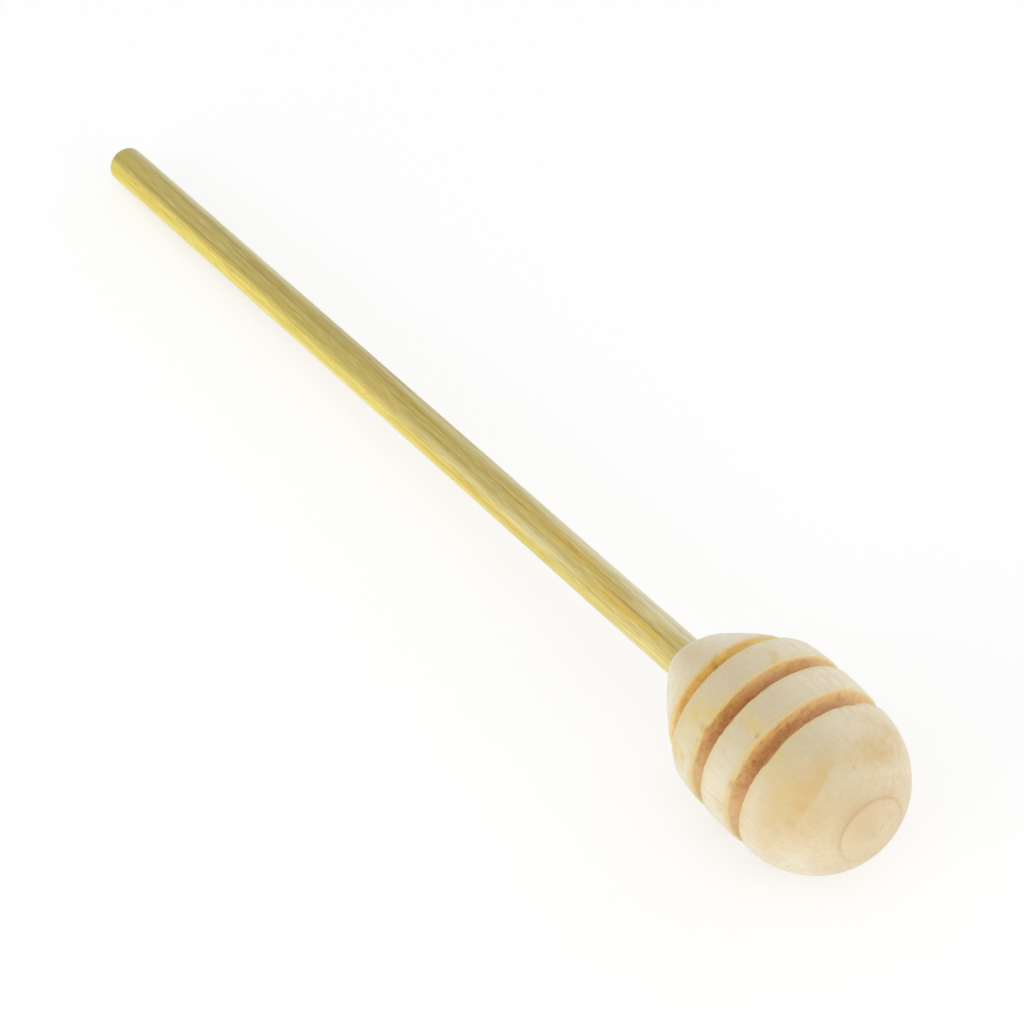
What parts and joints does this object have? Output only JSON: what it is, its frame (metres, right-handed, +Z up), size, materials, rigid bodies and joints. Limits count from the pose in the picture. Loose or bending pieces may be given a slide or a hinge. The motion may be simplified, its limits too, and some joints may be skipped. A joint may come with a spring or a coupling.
{
  "type": "honey dipper",
  "caption": "Slim round bamboo handle glued into a turned wooden head with deep ring grooves that hold honey and a smooth domed tip.",
  "frame": {"origin": "middle of the footprint, on the table that the dipper lies on", "axes": "+X along the dipper towards the head's tip, +Z up from the table, +Y to the left of the head seen from the free end"},
  "size_m": [0.1884, 0.0252, 0.0253],
  "materials": {
    "bamboo": "bare, sanded, faint sheen",
    "turned_wood": "bare, turned, matte",
    "dried_glue": "dull"
  },
  "bodies": {
    "root": {"handle": "bamboo", "head": "turned_wood", "glue": "dried_glue"}
  },
  "joints": []
}
